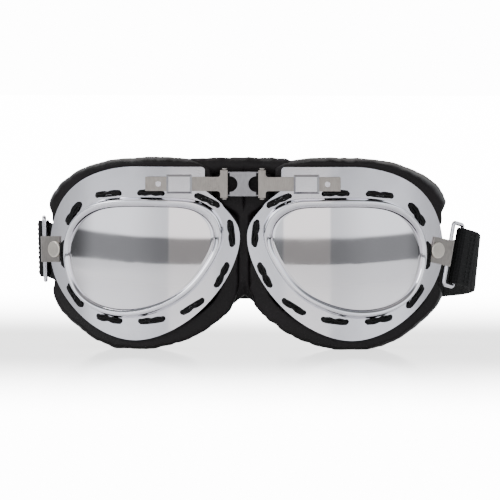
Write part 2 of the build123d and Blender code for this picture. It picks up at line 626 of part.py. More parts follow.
def side_parts(side):
    double = 2 * STRAP_THICKNESS if side == "right" else STRAP_THICKNESS
    parts = {
        "eye_frame": frame_part(),
        "lens_rim": rim_part(),
        "lens": lens_part(),
        "lace": lace_part(),
        "bridge_bracket": bracket_part(),
        "hinge_pin": hinge_pin(),
        "slide_stop": slide_stop(),
        "strap_clip": clip_part(side),
        "clip_rivet": clip_rivet(),
        "strap_ring": ring_part(side),
        "strap_end": strap_end(side),
        "strap_side": strap_stretch(side, 0, STRAP_SIDE_SHARE, double),
    }
    parts.update(pad_parts())
    return parts


def main():
    os.makedirs("parts", exist_ok=True)
    parts = {
        "bridge_link": link_part(),
        "nose_pad": nose_pad(),
        "strap_rear": strap_rear(),
        "strap_adjuster": strap_adjuster(),
    }
    for name, shape in side_parts("right").items():
        parts[name + "_right"] = shape
    for name, shape in side_parts("left").items():
        parts[name + "_left"] = mirror(shape, Plane.YZ)
    boxes = [shape.bounding_box() for shape in parts.values()]
    lows = [min(tuple(box.min)[i] for box in boxes) for i in range(3)]
    highs = [max(tuple(box.max)[i] for box in boxes) for i in range(3)]
    to_origin = Pos(-(lows[0] + highs[0]) / 2, -(lows[1] + highs[1]) / 2, -lows[2])
    for name, shape in parts.items():
        export_step(to_origin * shape, f"parts/{name}.step")


if __name__ == "__main__":
    main()
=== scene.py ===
"""Finishes the motorcycle goggles on their frame: bezels, lenses, laced leather pads, webbing and metal."""

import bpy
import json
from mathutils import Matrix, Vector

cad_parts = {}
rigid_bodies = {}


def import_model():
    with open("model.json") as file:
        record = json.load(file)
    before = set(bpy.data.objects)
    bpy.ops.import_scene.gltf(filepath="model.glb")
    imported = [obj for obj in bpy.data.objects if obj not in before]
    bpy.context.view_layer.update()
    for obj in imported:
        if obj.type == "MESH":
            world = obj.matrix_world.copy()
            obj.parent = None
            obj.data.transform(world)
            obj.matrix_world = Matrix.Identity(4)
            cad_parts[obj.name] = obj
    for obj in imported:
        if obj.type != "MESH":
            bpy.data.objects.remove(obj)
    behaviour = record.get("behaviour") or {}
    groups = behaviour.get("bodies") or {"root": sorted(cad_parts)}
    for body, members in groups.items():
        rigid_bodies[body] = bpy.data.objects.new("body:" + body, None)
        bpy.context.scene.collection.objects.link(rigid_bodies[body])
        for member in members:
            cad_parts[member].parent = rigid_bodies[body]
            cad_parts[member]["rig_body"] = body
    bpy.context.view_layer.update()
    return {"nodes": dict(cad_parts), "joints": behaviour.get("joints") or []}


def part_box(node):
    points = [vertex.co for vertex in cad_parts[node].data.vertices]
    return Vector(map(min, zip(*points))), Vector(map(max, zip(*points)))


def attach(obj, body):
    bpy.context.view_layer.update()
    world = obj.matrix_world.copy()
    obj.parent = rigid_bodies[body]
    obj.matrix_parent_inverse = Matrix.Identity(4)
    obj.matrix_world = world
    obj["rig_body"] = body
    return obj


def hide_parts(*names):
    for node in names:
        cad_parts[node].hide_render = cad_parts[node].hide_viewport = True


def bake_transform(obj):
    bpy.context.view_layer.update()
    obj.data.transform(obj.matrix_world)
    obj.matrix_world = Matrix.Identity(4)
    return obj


bl_info = {
    "name": "Motorcycle Goggles",
    "version": (1, 0, 0),
    "blender": (4, 5, 0),
    "location": "3D View > Sidebar > Goggles",
    "description": "Builds the finished pieces of a pair of motorcycle goggles on their frame",
    "category": "Object",
}

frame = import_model()

import json
import math

import bmesh
import bpy
import numpy as np
from mathutils import Vector, noise

MM = 0.001
SIDES = {"left": -1, "right": 1}

# The frame's own places. "u" is the distance outward from the middle plane, in metres like everything else.
LINK_LOW, LINK_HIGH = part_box("bridge_link")
LINK_AHEAD = 1.0 * MM
MIDDLE_X = (LINK_LOW.x + LINK_HIGH.x) / 2
APEX_Y = LINK_LOW.y + LINK_AHEAD
WRAP_RADIUS = 92.0 * MM
WRAP_APEX = 25.0 * MM
FLANGE = 1.8 * MM
FACE_RADIUS = 110.0 * MM
FACE_NOSE_DEPTH = 20.0 * MM
SHOULDER_U = 13.5 * MM
SHOULDER_Z = 61.5 * MM
NOSE_EDGE = 2.3 * MM
NOSE_DEPTH = 5.2 * MM
NOSE_SLOPE = 0.47
TEMPLE_SLOPE = 0.55
TEMPLE_DEPTH = 27.6 * MM
CLIP_Z = 42.3 * MM
CLIP_END_U = 80.0 * MM
JOINTS = {joint["name"]: joint for joint in frame["joints"]}

# Outlines in shares of the box that they fill: across from the nose, up from the lowest point.
LENS_SHAPE = [(0, .732), (.045, .878), (.151, .971), (.341, .998), (.63, .996), (.791, .962), (.928, .838),
              (1, .582), (.985, .361), (.908, .153), (.767, .033), (.598, 0), (.405, .055), (.228, .186),
              (.077, .423)]
PAD_SHAPE = [(.135, .95), (.2, .982), (.322, 1), (.509, .996), (.718, .964), (.871, .878), (.966, .724),
             (1, .55), (.974, .375), (.871, .175), (.695, .035), (.509, 0), (.352, .018), (.232, .055),
             (.128, .117), (.033, .213), (0, .31), (0, .5), (.012, .68), (.09, .76), (.125, .85), (.128, .91)]


def box_of(node, side):
    """A CAD node's box as (u low, u high, z low, z high)."""
    low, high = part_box(f"{node}_{side}")
    ends = sorted(SIDES[side] * (x - MIDDLE_X) for x in (low.x, high.x))
    return ends[0], ends[1], low.z, high.z


# The lens's box is the part of it that the bezel leaves open.
LENS_EDGE_HELD = (1.4 * MM, -1.1 * MM, 1.4 * MM, -1.4 * MM)
PAD_PROUD = 3.0 * MM
RIM_BOX = box_of("lens_rim", "right")
LENS_BOX = tuple(edge + held for edge, held in zip(box_of("lens", "right"), LENS_EDGE_HELD))
PAD_BOX = (NOSE_EDGE, box_of("eye_frame", "right")[1] + PAD_PROUD, 0.0, box_of("leather_cover", "right")[3])


def at(side, u, y, z):
    """A point of one side: outward, back from the frames' foremost point, and up."""
    return Vector((MIDDLE_X + SIDES[side] * u, APEX_Y + y, z))


def wrapped(u, z, height=0.0):
    """(u, y, z) of a point over the flange's wrapped front face, which never turns quite sideways."""
    steepest = 0.95
    angle = math.asin(max(-steepest, min(steepest, (u - WRAP_APEX) / WRAP_RADIUS)))
    radius = WRAP_RADIUS + height
    return WRAP_APEX + radius * math.sin(angle), WRAP_RADIUS - radius * math.cos(angle), z


def wrap_depth(u, height=0.0):
    """How far back the wrapped surface at that height lies at u."""
    radius = WRAP_RADIUS + height
    return WRAP_RADIUS - math.sqrt(max(radius ** 2 - (u - WRAP_APEX) ** 2, 0.01 * radius ** 2))


def face_depth(u):
    return FACE_NOSE_DEPTH + FACE_RADIUS - math.sqrt(FACE_RADIUS ** 2 - u ** 2)


def smooth(value, low, high):
    share = max(0.0, min(1.0, (value - low) / (high - low)))
    return share * share * (3 - 2 * share)


def mix(a, b, share):
    return a + (b - a) * share


# ---- settings -----------------------------------------------------------------------------------------

class GogglesSizes(bpy.types.PropertyGroup):
    """Sizes of what is finished here, in metres."""
    bezel_height: bpy.props.FloatProperty(
        name="Bezel height", description="The bezel's crest over the flange", default=3.6 * MM, unit="LENGTH")
    lens_dome: bpy.props.FloatProperty(
        name="Lens dome", description="How far the lens bulges in its middle", default=0.8 * MM,
        unit="LENGTH")
    edge_softness: bpy.props.FloatProperty(
        name="Edge softness", description="Width of the rounding on sheet metal edges", default=0.14 * MM,
        unit="LENGTH")
    leather_puff: bpy.props.FloatProperty(
        name="Leather puff", description="How far the filled leather swells between its edges",
        default=1.1 * MM, unit="LENGTH")
    leather_pleat: bpy.props.FloatProperty(
        name="Leather pleats", description="Depth of the gathers in the leather", default=0.8 * MM,
        unit="LENGTH")
    webbing_rib: bpy.props.FloatProperty(
        name="Webbing rib", description="Spacing of the ribs in the elastic webbing", default=0.9 * MM,
        unit="LENGTH")


class GogglesColours(bpy.types.PropertyGroup):
    """Colours of the finishes."""
    chrome: bpy.props.FloatVectorProperty(
        name="Chrome", description="Tint of the plated frames", default=(.80, .79, .84), subtype="COLOR")
    nickel: bpy.props.FloatVectorProperty(
        name="Nickel", description="Tint of the bridge and clips", default=(.36, .335, .315), subtype="COLOR")
    rivet: bpy.props.FloatVectorProperty(
        name="Rivet", description="Tint of the clip rivets", default=(.74, .69, .62), subtype="COLOR")
    mirror: bpy.props.FloatVectorProperty(
        name="Mirror", description="Tint of the mirrored lenses", default=(.80, .775, .80), subtype="COLOR")
    leather: bpy.props.FloatVectorProperty(
        name="Leather", description="Dye of the pads' leather", default=(.0088, .0074, .0080),
        subtype="COLOR")
    webbing: bpy.props.FloatVectorProperty(
        name="Webbing", description="Dye of the head strap", default=(.0060, .0060, .0065), subtype="COLOR")


# ---- shader maths -------------------------------------------------------------------------------------

class Value:
    """A number on a socket. Python's arithmetic on it adds Math nodes."""

    def __init__(self, recipe, socket):
        self.recipe = recipe
        self.socket = socket

    def maths(self, operation, *others):
        return self.recipe.add("ShaderNodeMath", {"operation": operation},
                               dict(enumerate((self,) + others)))

    def __add__(self, other):
        return self.maths("ADD", other)

    def __radd__(self, other):
        return self.maths("ADD", other)

    def __sub__(self, other):
        return self.maths("SUBTRACT", other)

    def __rsub__(self, other):
        return self.maths("MULTIPLY", -1.0).maths("ADD", other)

    def __mul__(self, other):
        return self.maths("MULTIPLY", other)

    def __rmul__(self, other):
        return self.maths("MULTIPLY", other)


class Recipe:
    """One material or world: its nodes, and the finish that they feed."""

    def __init__(self, name, owner=None, **finish):
        self.material = owner or bpy.data.materials.new(name)
        self.material.use_nodes = True
        self.tree = self.material.node_tree
        self.finish = self.tree.nodes["Background" if owner else "Principled BSDF"]
        self.set(finish)

    def feed(self, socket, value):
        if isinstance(value, Value):
            self.tree.links.new(value.socket, socket)
        elif hasattr(value, "__len__") and len(value) == 3 and socket.type == "RGBA":
            socket.default_value = (*value, 1.0)
        else:
            socket.default_value = value

    def add(self, kind, settings=None, inputs=None, output=0):
        node = self.tree.nodes.new(kind)
        for key, value in (settings or {}).items():
            setattr(node, key, value)
        for key, value in (inputs or {}).items():
            self.feed(node.inputs[key], value)
        return Value(self, node.outputs[output])

    def set(self, inputs):
        for key, value in inputs.items():
            self.feed(self.finish.inputs[key.replace("_", " ").title() if "_" in key else key], value)

    def place(self):
        return self.add("ShaderNodeTexCoord", output="Object")

    def stretched(self, scale):
        return self.add("ShaderNodeMapping", {}, {"Vector": self.place(), "Scale": scale})

    def cloud(self, scale, detail=3.0, roughness=0.5, where=None):
        return self.add("ShaderNodeTexNoise", {}, {"Vector": where or self.place(), "Scale": scale,
                                                   "Detail": detail, "Roughness": roughness})

    def ramp(self, value, start, end, low=0.0, high=1.0):
        """The value's smooth way from low at start to high at end."""
        return self.add("ShaderNodeMapRange", {"interpolation_type": "SMOOTHSTEP"},
                        {0: value, 1: start, 2: end, 3: low, 4: high})

    def spread(self, value, low, high):
        """The value, from 0.3..0.7, spread over low..high."""
        return self.add("ShaderNodeMapRange", {}, {0: value, 1: 0.3, 2: 0.7, 3: low, 4: high})

    def tint(self, share, first, second):
        return self.add("ShaderNodeMix", {"data_type": "RGBA"}, {0: share, 6: first, 7: second}, output=2)

    def bump(self, height, distance, strength=1.0, over=None):
        inputs = {"Height": height, "Distance": distance, "Strength": strength}
        if over:
            inputs["Normal"] = over
        return self.add("ShaderNodeBump", {}, inputs)


def shade(colour, factor):
    return tuple(min(1.0, part * factor) for part in colour)


def plated(name, tint, low, high, brushed=0.0):
    """Bright plate with a little haze in patches and fine wiping marks, and streaks where it is brushed."""
    recipe = Recipe(name, Metallic=1.0)
    haze = recipe.cloud(90.0)
    wipes = recipe.cloud(1.0, detail=2.0, where=recipe.stretched((260.0, 260.0, 2400.0)))
    grain = recipe.cloud(1.0, detail=4.0, where=recipe.stretched((3600.0, 900.0, 500.0)))
    shading = recipe.spread(haze, 0.0, 1.0) * (1 - 0.6 * brushed) + recipe.spread(grain, 0.0, 0.6 * brushed)
    contrast = 0.04 + 0.16 * brushed
    recipe.set({"Roughness": recipe.spread(haze, low, high) + grain * (0.14 * brushed),
                "Base Color": recipe.tint(shading, shade(tint, 1 - contrast), shade(tint, 1 + contrast)),
                "Normal": recipe.bump(wipes * 0.25 + grain * brushed, 0.00002, 0.25 + 0.6 * brushed)})
    return recipe.material


def mirror_coat(name, tint):
    recipe = Recipe(name, Metallic=1.0, coat_weight=0.3)
    smear = recipe.cloud(38.0, detail=4.0)
    share = recipe.spread(smear, 0.0, 1.0)
    recipe.set({"Roughness": recipe.spread(smear, 0.02, 0.055),
                "Base Color": recipe.tint(share, shade(tint, 0.97), shade(tint, 1.02))})
    return recipe.material


def leather(name, dye):
    """Fine pebble grain, softer creases, and a polish on what is rubbed."""
    recipe = Recipe(name, **{"Specular IOR Level": 0.16})
    place = recipe.place()
    pebble = recipe.add("ShaderNodeTexVoronoi", {"feature": "SMOOTH_F1"}, {"Vector": place, "Scale": 1150.0})
    crease = recipe.add("ShaderNodeTexVoronoi", {"feature": "DISTANCE_TO_EDGE"},
                        {"Vector": recipe.cloud(240.0) * 0.004 + place, "Scale": 420.0})
    mottle = recipe.cloud(60.0, detail=4.0)
    furrow = recipe.spread(crease * 2.2, 0.0, 1.0)
    grain = recipe.bump(pebble * -1.0, 0.00012, 0.55)
    recipe.set({"Base Color": recipe.tint(recipe.spread(mottle, 0.0, 1.0), shade(dye, 0.75), shade(dye, 1.5)),
                "Roughness": recipe.spread(mottle, 0.36, 0.50) + pebble * 0.10,
                "Normal": recipe.bump(furrow, 0.00010, 0.5, over=grain)})
    return recipe.material


# a wave texture of scale 1 repeats after this length
WAVE_LENGTH = 0.314


def webbing(name, dye, rib):
    """Elastic webbing: ribs across the strap, cords along it, and a fuzz."""
    recipe = Recipe(name, **{"Specular IOR Level": 0.15, "Sheen Weight": 0.03, "Sheen Roughness": 0.5})
    lie = recipe.add("ShaderNodeTexCoord", output="UV")
    ribs = recipe.add("ShaderNodeTexWave", {"bands_direction": "X"},
                      {"Vector": lie, "Scale": WAVE_LENGTH / rib})
    cords = recipe.add("ShaderNodeTexWave", {"bands_direction": "Y"},
                       {"Vector": lie, "Scale": WAVE_LENGTH / (1.4 * rib)})
    fuzz = recipe.cloud(2600.0, detail=2.0)
    weave = ribs * 0.7 + cords * 0.45 + fuzz * 0.3
    recipe.set({"Base Color": recipe.tint(weave * 0.6, shade(dye, 0.6), shade(dye, 2.0)),
                "Roughness": recipe.spread(fuzz, 0.70, 0.92),
                "Normal": recipe.bump(weave, 0.00022, 0.8)})
    return recipe.material


def cloth_lining(name, dye):
    recipe = Recipe(name, **{"Specular IOR Level": 0.15, "Sheen Weight": 0.06, "Sheen Roughness": 0.4,
                             "Roughness": 0.95})
    pile = recipe.cloud(3200.0, detail=3.0, roughness=0.7)
    nap = recipe.cloud(110.0, detail=3.0)
    recipe.set({"Base Color": recipe.tint(recipe.spread(nap, 0.0, 1.0) * 0.6 + pile * 0.3,
                                          shade(dye, 0.7), shade(dye, 1.9)),
                "Normal": recipe.bump(pile + nap * 0.6, 0.0003, 0.9)})
    return recipe.material


def waxed_cord(name, dye):
    recipe = Recipe(name, **{"Specular IOR Level": 0.2})
    strands = recipe.add("ShaderNodeTexWave", {"bands_direction": "DIAGONAL"},
                         {"Vector": recipe.place(), "Scale": 420.0, "Distortion": 1.5, "Detail": 2.0})
    recipe.set({"Base Color": recipe.tint(strands * 0.5, shade(dye, 0.6), shade(dye, 1.8)),
                "Roughness": strands * 0.2 + 0.45,
                "Normal": recipe.bump(strands, 0.00012, 0.8)})
    return recipe.material


def enamel(name, dye):
    """Black enamel that has worn through a little."""
    recipe = Recipe(name, coat_weight=0.3)
    wear = recipe.cloud(500.0, detail=5.0, roughness=0.65)
    chipped = recipe.add("ShaderNodeMapRange", {}, {0: wear, 1: 0.68, 2: 0.74, 3: 0.0, 4: 1.0})
    recipe.set({"Base Color": recipe.tint(chipped, dye, (.35, .34, .33)),
                "Metallic": chipped * 0.9,
                "Roughness": recipe.spread(wear, 0.28, 0.42),
                "Normal": recipe.bump(chipped * -1.0, 0.00004, 0.6)})
    return recipe.material


# ---- mesh work ----------------------------------------------------------------------------------------

WELD = 0.002 * MM
FLAT = math.radians(0.5)
SHARP = math.radians(38)


def shade_smooth(piece):
    piece.data.polygons.foreach_set("use_smooth", [True] * len(piece.data.polygons))


def finish(name, points, faces, material, slot, uvs=None, level=0):
    """A smooth mesh object from points and faces, with its material and subdivision applied; its slot is not
    used.
    """
    mesh = bpy.data.meshes.new(name)
    mesh.from_pydata([tuple(p) for p in points], [], faces)
    if uvs:
        layer = mesh.uv_layers.new(name="lie")
        for loop in mesh.loops:
            layer.data[loop.index].uv = uvs[loop.vertex_index]
    work = bmesh.new()
    work.from_mesh(mesh)
    bmesh.ops.recalc_face_normals(work, faces=work.faces)
    work.to_mesh(mesh)
    work.free()
    piece = bpy.data.objects.new(name, mesh)
    bpy.context.scene.collection.objects.link(piece)
    if level:
        apply(piece, "SUBSURF", levels=level, render_levels=level)
    shade_smooth(piece)
    piece.data.materials.append(material)
    return piece


def apply(piece, kind, **settings):
    """Puts a modifier on a piece and bakes it into its mesh."""
    modifier = piece.modifiers.new(kind.lower(), kind)
    for key, value in settings.items():
        setattr(modifier, key, value)
    graph = bpy.context.evaluated_depsgraph_get()
    mesh = bpy.data.meshes.new_from_object(piece.evaluated_get(graph))
    old = piece.data
    piece.modifiers.clear()
    piece.data = mesh
    bpy.data.meshes.remove(old)


def grid_faces(rows, columns, round_rows, round_columns):
    """Quads between the points of a grid that is written row by row."""
    faces = []
    for i in range(rows if round_rows else rows - 1):
        for j in range(columns if round_columns else columns - 1):
            a, b = i * columns, ((i + 1) % rows) * columns
            k = (j + 1) % columns
            faces.append((a + j, b + j, b + k, a + k))
    return faces


def closed_tube(rows, columns):
    """The faces of a tube of rings of points, with both ends closed."""
    first, last = tuple(range(columns)), tuple(range((rows - 1) * columns, rows * columns))
    return grid_faces(rows, columns, False, True) + [first, last]


def softened(node, material, slot, width):
    """A copy of a CAD node with its sharp edges rounded, which then stands for it."""
    source = frame["nodes"][node]
    mesh = source.data.copy()
    mesh.name = node + "_finished"
    piece = bpy.data.objects.new(node + "_finished", mesh)
    bpy.context.scene.collection.objects.link(piece)
    work = bmesh.new()
    work.from_mesh(mesh)
    bmesh.ops.remove_doubles(work, verts=work.verts, dist=WELD)
    bmesh.ops.dissolve_limit(work, angle_limit=FLAT, verts=work.verts, edges=work.edges)
    work.to_mesh(mesh)
    work.free()
    apply(piece, "BEVEL", width=width, segments=2, limit_method="ANGLE", angle_limit=SHARP,
          use_clamp_overlap=True)
    shade_smooth(piece)
    apply(piece, "WEIGHTED_NORMAL", keep_sharp=False, weight=60)
    piece.data.materials.clear()
    piece.data.materials.append(material)
    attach(piece, source["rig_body"])
    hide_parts(node)


def closed_spline(shape, count):
    """Where evenly spaced points of a closed outline lie: for each, weights of the shape's points."""
    points = np.array(shape, float)
    total = len(points)
    chord = np.linalg.norm(np.roll(points, -1, 0) - points, axis=1)
    system = np.zeros((total, total))
    right = np.zeros((total, total))
    for i in range(total):
        before, after = (i - 1) % total, (i + 1) % total
        system[i, before] += chord[before]
        system[i, i] += 2 * (chord[before] + chord[i])
        system[i, after] += chord[i]
        right[i, after] += 6 / chord[i]
        right[i, i] -= 6 / chord[i] + 6 / chord[before]
        right[i, before] += 6 / chord[before]
    bend = np.linalg.solve(system, right)
    ends = np.concatenate([[0], np.cumsum(chord)])
    weights = []
    for k in range(count):
        place = ends[-1] * k / count
        i = min(total - 1, int(np.searchsorted(ends, place, side="right")) - 1)
        after, length = (i + 1) % total, chord[i]
        a, b = place - ends[i], ends[i + 1] - place
        row = ((a ** 3 - a * length ** 2) / (6 * length) * bend[after]
               + (b ** 3 - b * length ** 2) / (6 * length) * bend[i])
        row[i] += b / length
        row[after] += a / length
        weights.append(row)
    return np.array(weights)


def outline(weights, shape, box):
    """The outline's points, with the shape stretched over a box."""
    u0, u1, z0, z1 = box
    points = [(u0 + a * (u1 - u0), z0 + b * (z1 - z0)) for a, b in shape]
    return weights @ np.array(points)


# ---- bezels and lenses --------------------------------------------------------------------------------

# across the bezel, from the lens outward: share of its width and share of its height
BEZEL_PROFILE = [(0.0, .47), (.0, .52), (.10, .70), (.22, .86), (.36, .965), (.50, 1.0), (.63, .985),
                 (.74, .90), (.80, .74), (.85, .52), (.90, .28), (.965, .10), (1.0, .015), (.98, .004),
                 (.42, .004), (.40, .46)]
BEZEL_STATIONS = 220
BEZEL_LOWER_LIP = 0.9 * MM


def bezel(side, settings, material):
    """The rolled ring round a lens: an inner bevel, a round crest and a steep outer wall."""
    weights = closed_spline(LENS_SHAPE, BEZEL_STATIONS)
    nose, temple, low, high = LENS_BOX
    inner = outline(weights, LENS_SHAPE, (nose, temple, low + BEZEL_LOWER_LIP, high))
    outer = outline(weights, LENS_SHAPE, RIM_BOX)
    points = []
    for (u0, z0), (u1, z1) in zip(inner, outer):
        for share, height in BEZEL_PROFILE:
            place = wrapped(mix(u0, u1, share), mix(z0, z1, share), height * settings.bezel_height)
            points.append(at(side, *place))
    faces = grid_faces(BEZEL_STATIONS, len(BEZEL_PROFILE), True, True)
    piece = finish("lens_rim_" + side + "_rolled", points, faces, material, "bezel_chrome", level=1)
    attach(piece, "frame_" + side)
    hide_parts("lens_rim_" + side)


LENS_RINGS = 14
LENS_THICKNESS = 1.5 * MM
LENS_FACE = 1.55 * MM
LENS_HIGH_POINT = 8.0 * MM
LENS_MARGIN = 0.9 * MM


def lens(side, settings, material):
    """The lens, curved both ways, with its edge under the bezel and its highest point below its middle."""
    weights = closed_spline(LENS_SHAPE, BEZEL_STATIONS)
    nose, temple, low, high = LENS_BOX
    box = (nose - LENS_MARGIN, temple + LENS_MARGIN * 0.8, low - LENS_MARGIN, high + LENS_MARGIN)
    edge = outline(weights, LENS_SHAPE, box)
    middle = edge.mean(0)
    half = (high - low) / 2
    crest = (high + low) / 2 - LENS_HIGH_POINT

    def spot(u, z, front):
        height = LENS_FACE + settings.lens_dome * (1 - ((z - crest) / half) ** 2)
        return at(side, *wrapped(u, z, height if front else height - LENS_THICKNESS))

    rows = [((k + 1) / LENS_RINGS, True) for k in range(LENS_RINGS)]
    rows += [(share, False) for share, front in reversed(rows)]
    points = [spot(mix(middle[0], u, share), mix(middle[1], z, share), front) for share, front in rows
              for u, z in edge]
    faces = grid_faces(len(rows), BEZEL_STATIONS, False, True)
    for first, front in ((0, True), (len(rows) - 1, False)):
        points.append(spot(middle[0], middle[1], front))
        hub, ring = len(points) - 1, first * BEZEL_STATIONS
        faces += [(hub, ring + j, ring + (j + 1) % BEZEL_STATIONS) for j in range(BEZEL_STATIONS)]
    piece = finish("lens_" + side + "_mirrored", points, faces, material, "mirror_lens")
    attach(piece, "frame_" + side)
    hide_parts("lens_" + side)


# ---- laces --------------------------------------------------------------------------------------------

LACE_RADIUS = 0.8 * MM
LACE_BEND = 0.95 * MM
LACE_LIFT = 0.4 * MM
STRAND_RADIUS = 0.46 * MM
STRAND_SPREAD = 0.56 * MM
STRAND_SIDES = 10
STRAND_STEPS = 4
CROSSING_LIFT = 0.55 * MM
UNCROSSED_STEP = 0.85
FIRST_STITCH = math.radians(100)

# along a stitch: share of its length, sideways in spreads, and height over the flange in millimetres
LACE_COURSE = [(0, .4, -2.6), (0, .4, -1.2), (.0, .42, .1), (.05, .5, .66), (.15, .72, .80), (.3, .88, .84),
               (.5, 0, .86), (.7, .88, .84), (.85, .72, .80), (.95, .5, .66), (1, .42, .1), (1, .4, -1.2),
               (1, .4, -2.6)]


def on_flange(u, y, z):
    """The place (u, z) on the flange's front under a point that is lifted off it."""
    return WRAP_APEX + (u - WRAP_APEX) * WRAP_RADIUS / math.hypot(u - WRAP_APEX, WRAP_RADIUS - y), z


def stitch_ends(side):
    """Pairs of ends (u, z) of the lace's runs over the flange, in order round the lens, from the CAD lace.

    The round surface of a CAD stitch has two halves, and each gives a run, so a stitch has two runs that lie
    side by side, half a lace's width apart.
    """
    mesh = frame["nodes"]["lace_" + side].data
    places = [(SIDES[side] * (v.co.x - MIDDLE_X), v.co.y - APEX_Y, v.co.z) for v in mesh.vertices]
    lifted = {i for i, (u, y, z) in enumerate(places)
              if math.hypot(u - WRAP_APEX, WRAP_RADIUS - y) > WRAP_RADIUS + LACE_LIFT}
    near = {i: [] for i in lifted}
    for edge in mesh.edges:
        a, b = edge.vertices
        if a in lifted and b in lifted:
            near[a].append(b)
            near[b].append(a)
    stitches = []
    while lifted:
        group, waiting = set(), [min(lifted)]
        while waiting:
            i = waiting.pop()
            if i not in group:
                group.add(i)
                waiting += near[i]
        lifted -= group
        spots = np.array([on_flange(*places[i]) for i in sorted(group)])
        middle = spots.mean(0)
        way = np.linalg.svd(spots - middle)[2][0]
        reach = (spots - middle) @ way
        low, high = reach.min(), reach.max()
        if high - low > 3 * LACE_RADIUS:
            stitches.append((middle + way * (low - LACE_BEND), middle + way * (high + LACE_BEND)))
    centre = np.array([(LENS_BOX[0] + LENS_BOX[1]) / 2, (LENS_BOX[2] + LENS_BOX[3]) / 2])

    def turn(point):
        u, z = point - centre
        return (math.atan2(z, -u) - FIRST_STITCH) % math.tau

    stitches = [tuple(sorted(ends, key=turn)) for ends in stitches]
    return sorted(stitches, key=lambda ends: turn((ends[0] + ends[1]) / 2))


def through(points, steps):
    """Points on a smooth curve through the given ones."""
    curve, end = [], len(points) - 1
    for i in range(end):
        before, a, b, after = points[max(i - 1, 0)], points[i], points[i + 1], points[min(i + 2, end)]
        for k in range(steps):
            t = k / steps
            curve.append(0.5 * ((2 * a) + (b - before) * t + (2 * before - 5 * a + 4 * b - after) * t ** 2
                                + (3 * a - before - 3 * b + after) * t ** 3))
    return curve + [points[-1]]


def tube(path, radius, sides):
    """A round cord along a path: its points and faces."""
    points = []
    ahead = (path[1] - path[0]).normalized()
    across = ahead.orthogonal().normalized()
    for i, place in enumerate(path):
        now = (path[min(i + 1, len(path) - 1)] - path[max(i - 1, 0)]).normalized()
        across = (across - now * across.dot(now)).normalized()
        other = now.cross(across)
        for k in range(sides):
            turn = math.tau * k / sides
            points.append(place + (across * math.cos(turn) + other * math.sin(turn)) * radius)
    return points, closed_tube(len(path), sides)


def beside_clip(u, z):
    """The share of their spread that the strands keep where a strap clip swings over the flange."""
    return mix(0.3, 1.0, smooth(math.hypot(u - CLIP_END_U, z - CLIP_Z), 8 * MM, 13 * MM))


def lacing(side, material):
    """Two strands that each go along every run of the lace, and cross in two runs of every three."""
    for strand in (-1, 1):
        path = []
        for i, (a, b) in enumerate(stitch_ends(side)):
            way = (b - a) / np.linalg.norm(b - a)
            beside = np.array([-way[1], way[0]])
            last = -strand if i % 3 != 1 else strand
            lift = CROSSING_LIFT if strand > 0 and last != strand else 0.0
            for share, step, height in LACE_COURSE:
                hand = strand if share < .5 else last
                if share == .5 and last == strand:
                    step = UNCROSSED_STEP
                spot = a + (b - a) * share
                spot = spot + beside * (hand * step * STRAND_SPREAD * beside_clip(*spot))
                rise = height * MM + lift * math.sin(math.pi * share)
                path.append(at(side, *wrapped(spot[0], spot[1], rise)))
        points, faces = tube(through(path, STRAND_STEPS), STRAND_RADIUS, STRAND_SIDES)
        piece = finish(f"lace_{side}_strand_{1 if strand < 0 else 2}", points, faces, material, "black_lace")
        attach(piece, "frame_" + side)
        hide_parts("lace_" + side)


# ---- leather pads -------------------------------------------------------------------------------------

HIDE = 1.0 * MM
CLOTH = 0.8 * MM
PAD_STATIONS = 420
PAD_FOOT = 0.02 * MM
PAD_TOP_ROOM = 0.9 * MM
# steps either side over which a pad's outline is evened out, in radians
EVENING = [-0.04, -0.02, 0, 0.02, 0.04]


def polar(points, centre):
    """The distance of a star-shaped outline from a centre, as a function of the angle."""
    offsets = np.array(points) - np.array(centre)
    angles = np.arctan2(offsets[:, 1], offsets[:, 0]) % math.tau
    reach = np.linalg.norm(offsets, axis=1)
    order = np.argsort(angles)
    return lambda angle: float(np.interp(angle % math.tau, angles[order], reach[order], period=math.tau))


def bell(value, middle, width):
    return math.exp(-((value - middle) / width) ** 2)


def nose_limit(y, z):
    """The innermost u that a pad may reach at a depth and height."""
    low = NOSE_EDGE + NOSE_SLOPE * max(0.0, y - NOSE_DEPTH)
    return mix(low, max(low, SHOULDER_U), smooth(z, SHOULDER_Z - 4 * MM, SHOULDER_Z + 3 * MM))


def eye_limit(y, share):
    """The innermost u of the skin between the eye opening and the roll."""
    return LENS_BOX[0] + 0.35 * max(0.0, y - NOSE_DEPTH) * (1 - share)


def temple_limit(y, z):
    """The outermost u that a pad may reach at a depth and height, with less room beside the strap ring."""
    beyond_ring = smooth(abs(z - CLIP_Z), 13 * MM, 24 * MM)
    return PAD_BOX[1] - TEMPLE_SLOPE * max(0.0, y - TEMPLE_DEPTH) + mix(1.5, 3.0, beyond_ring) * MM


def strap_hollow(y, z):
    """How far the pad's side is pressed in behind the strap ring and the clip's knuckle."""
    off_clip = abs(z - CLIP_Z)
    beside = 1 - smooth(off_clip, 14.0 * MM, 21.0 * MM)
    behind = smooth(y, 25.0 * MM, 30.0 * MM)
    at_knuckle = 1 - smooth(off_clip, 9.0 * MM, 13.0 * MM)
    return (1.8 * MM + 2.4 * MM * max(behind, at_knuckle)) * beside


